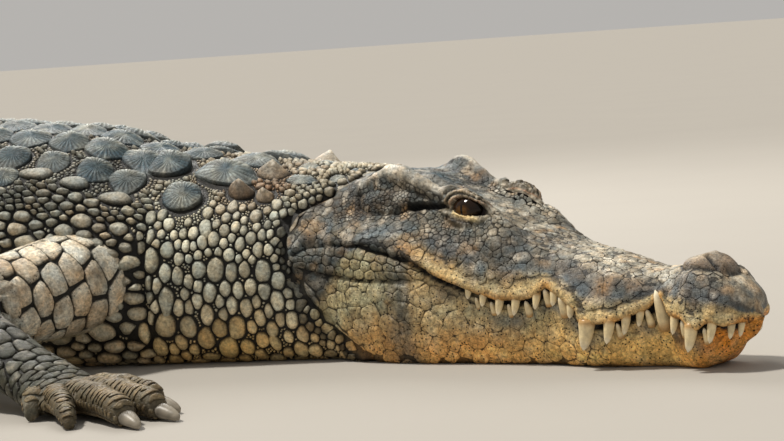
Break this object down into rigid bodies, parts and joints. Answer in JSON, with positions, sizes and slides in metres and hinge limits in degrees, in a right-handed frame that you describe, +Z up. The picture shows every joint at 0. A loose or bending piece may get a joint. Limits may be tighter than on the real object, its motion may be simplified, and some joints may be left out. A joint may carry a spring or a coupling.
{
  "type": "nile crocodile",
  "caption": "Life-size still model of a crocodile lying flat with its mouth shut, head turned to its right, legs sprawled and tail in a slow curve.",
  "frame": {"origin": "on the floor under the middle of the trunk", "axes": "+X forward along the trunk, +Y to the animal's left, +Z up"},
  "size_m": [3.2157, 1.2861, 0.326],
  "materials": {
    "skin": "horny scales, blue-grey on the back, olive on the sides, ochre below, dull with dark seams",
    "eye": "wet amber brown with an upright slit pupil",
    "claw": "grey horn, paler at the tip, slightly worn"
  },
  "bodies": {
    "root": {"head": "skin", "lower_jaw": "skin", "neck": "skin", "trunk": "skin", "tail_1": "skin", "tail_2": "skin", "tail_3": "skin", "tail_4": "skin", "right_upper_arm": "skin", "right_forearm": "skin", "right_hand": "skin", "right_thigh": "skin", "right_shank": "skin", "right_foot": "skin", "left_upper_arm": "skin", "left_forearm": "skin", "left_hand": "skin", "left_thigh": "skin", "left_shank": "skin", "left_foot": "skin", "eye_left": "eye", "eye_right": "eye", "right_hand_claw_1": "claw", "right_hand_claw_2": "claw", "right_hand_claw_3": "claw", "right_foot_claw_1": "claw", "right_foot_claw_2": "claw", "right_foot_claw_3": "claw", "left_hand_claw_1": "claw", "left_hand_claw_2": "claw", "left_hand_claw_3": "claw", "left_foot_claw_1": "claw", "left_foot_claw_2": "claw", "left_foot_claw_3": "claw"}
  },
  "joints": []
}
